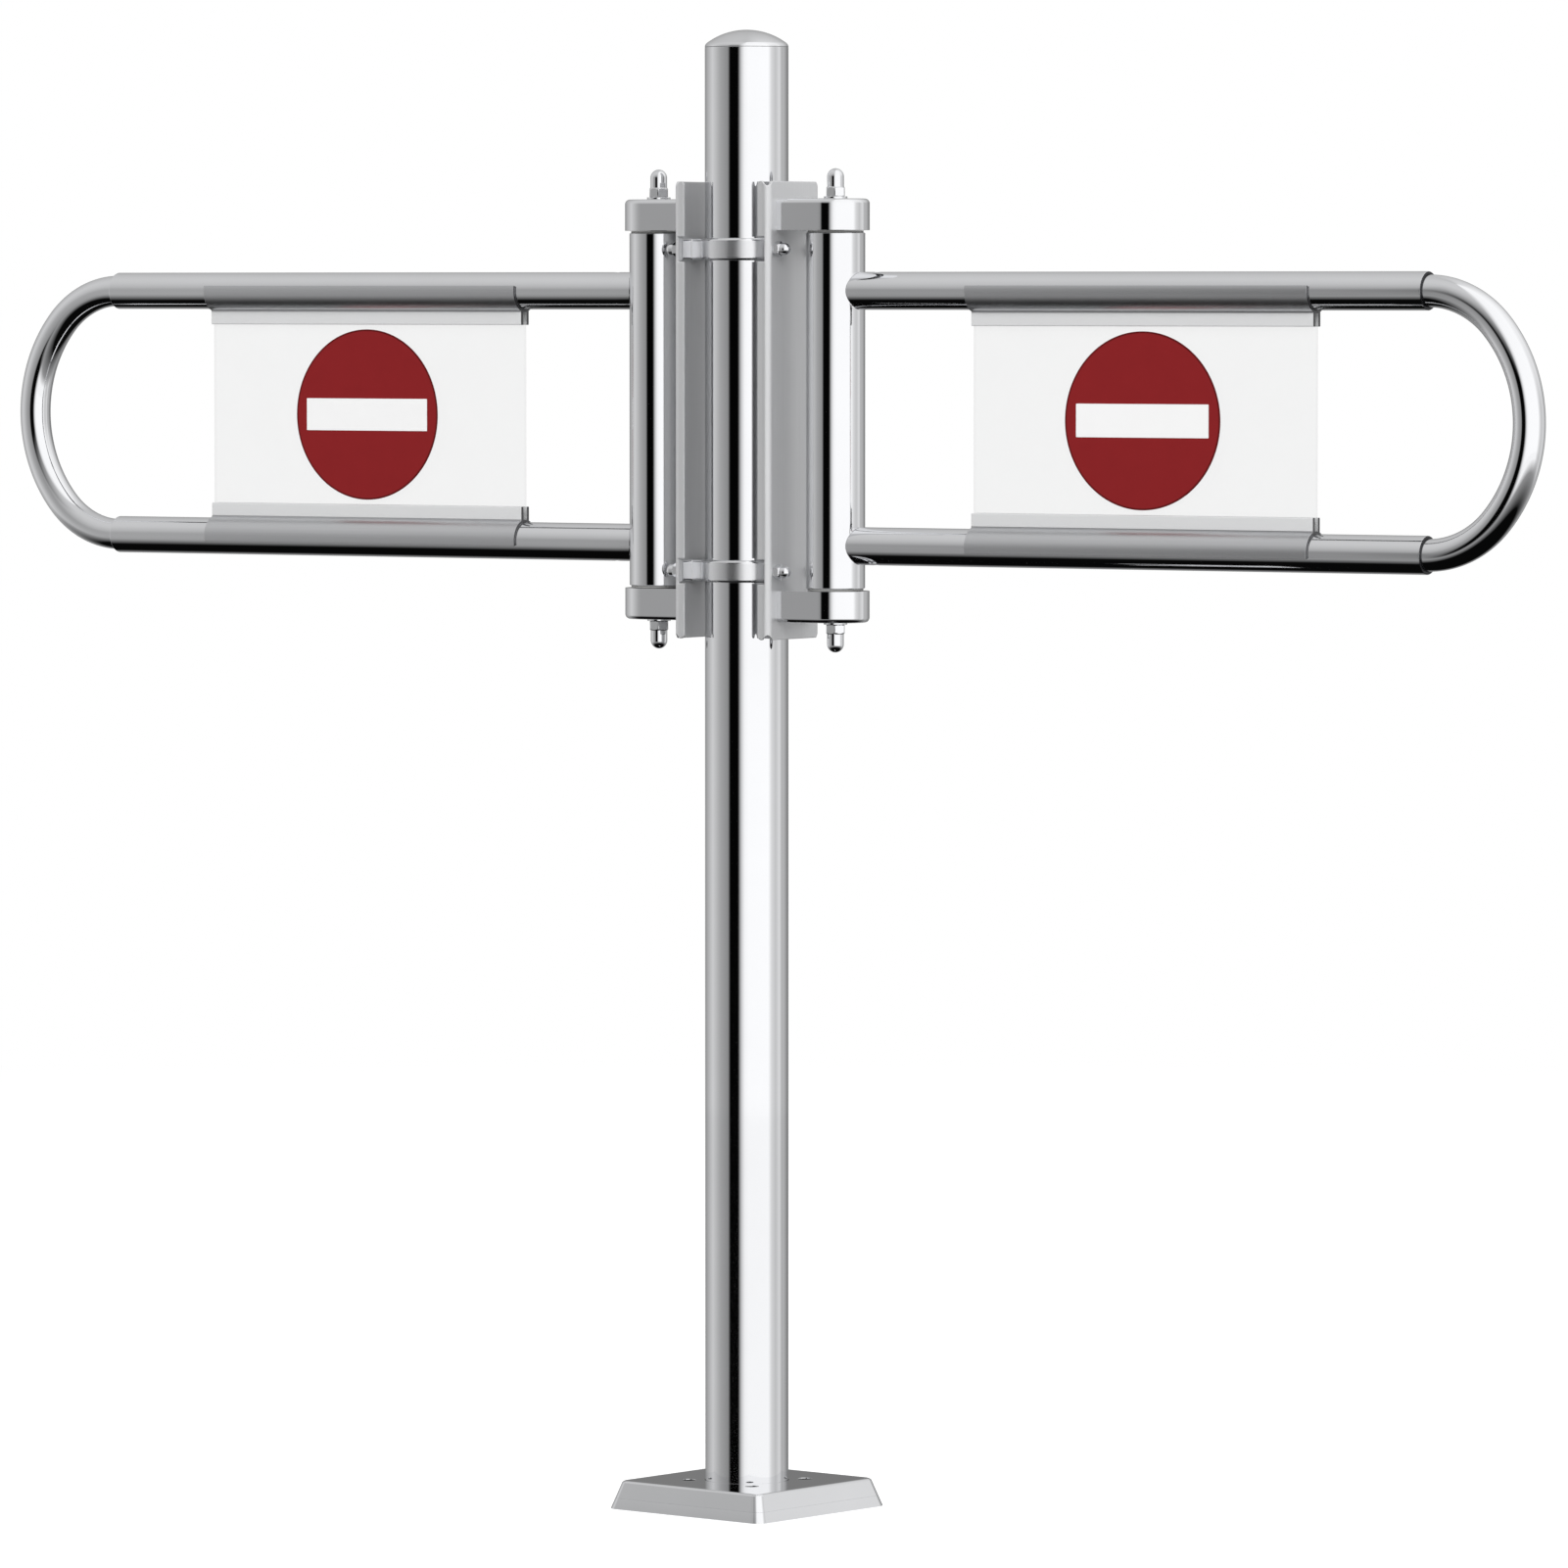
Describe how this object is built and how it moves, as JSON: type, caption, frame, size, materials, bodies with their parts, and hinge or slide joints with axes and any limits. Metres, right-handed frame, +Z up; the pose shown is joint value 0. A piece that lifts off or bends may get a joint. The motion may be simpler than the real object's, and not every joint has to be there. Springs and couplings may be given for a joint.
{
  "type": "swing gate",
  "caption": "Swing gate on a chromed floor post, with spring-hinged rounded wings that hold clear no-entry panels and swing shut by themselves.",
  "frame": {"origin": "middle of the base plate's underside, on the floor", "axes": "+X along the closed gate towards the right wing, +Y away from the side that shows the signs, +Z up along the post"},
  "size_m": [1.2886, 0.1612, 1.065],
  "materials": {
    "chrome": "polished chrome plate",
    "plain_steel": "turned steel",
    "black_steel": "black oxide",
    "spring_steel": "oiled spring wire",
    "bush_plastic": "moulded bearing plastic, light grey",
    "clip_aluminium": "satin anodised extrusion",
    "clear_panel": "clear acrylic",
    "sign_red": "printed film, deep red",
    "sign_white": "printed film, white"
  },
  "bodies": {
    "post": {"base_plate": "chrome", "base_cover": "chrome", "post_tube": "chrome", "post_cap": "chrome", "clamp_strap_front_upper": "chrome", "clamp_strap_front_lower": "chrome", "clamp_strap_rear_upper": "chrome", "clamp_strap_rear_lower": "chrome", "clamp_studs": "plain_steel", "clamp_nuts": "chrome", "right_bracket_channel": "chrome", "right_upper_arm": "chrome", "right_lower_arm": "chrome", "right_arm_screws": "plain_steel", "right_hinge_axle": "plain_steel", "right_axle_washers": "chrome", "right_axle_nuts": "chrome", "right_spring_collar": "plain_steel", "right_closing_spring": "spring_steel", "left_bracket_channel": "chrome", "left_upper_arm": "chrome", "left_lower_arm": "chrome", "left_arm_screws": "plain_steel", "left_hinge_axle": "plain_steel", "left_axle_washers": "chrome", "left_axle_nuts": "chrome", "left_spring_collar": "plain_steel", "left_closing_spring": "spring_steel"},
    "right_wing": {"right_hinge_tube": "chrome", "right_upper_bush": "bush_plastic", "right_lower_bush": "bush_plastic", "right_spring_driver": "plain_steel", "right_rail_spigots": "plain_steel", "right_upper_rail": "chrome", "right_lower_rail": "chrome", "right_rail_set_screws": "black_steel", "right_end_bow": "chrome", "right_upper_clip": "clip_aluminium", "right_lower_clip": "clip_aluminium", "right_sign_panel": "clear_panel", "right_sign_disc": "sign_red", "right_sign_bar": "sign_white"},
    "left_wing": {"left_hinge_tube": "chrome", "left_upper_bush": "bush_plastic", "left_lower_bush": "bush_plastic", "left_spring_driver": "plain_steel", "left_rail_spigots": "plain_steel", "left_upper_rail": "chrome", "left_lower_rail": "chrome", "left_rail_set_screws": "black_steel", "left_end_bow": "chrome", "left_upper_clip": "clip_aluminium", "left_lower_clip": "clip_aluminium", "left_sign_panel": "clear_panel", "left_sign_disc": "sign_red", "left_sign_bar": "sign_white"}
  },
  "joints": [
    {"name": "right_wing_hinge", "type": "hinge", "parent": "post", "child": "right_wing", "pos_m": [0.075, 0, 0.7925], "axis": [0, 0, -1], "range_deg": [0, 90], "stiffness_Nm_per_rad": 2, "springref_deg": -28.65, "deforming": ["right_closing_spring"]},
    {"name": "left_wing_hinge", "type": "hinge", "parent": "post", "child": "left_wing", "pos_m": [-0.075, 0, 0.7925], "axis": [0, 0, 1], "range_deg": [0, 90], "stiffness_Nm_per_rad": 2, "springref_deg": -28.65, "deforming": ["left_closing_spring"]}
  ]
}
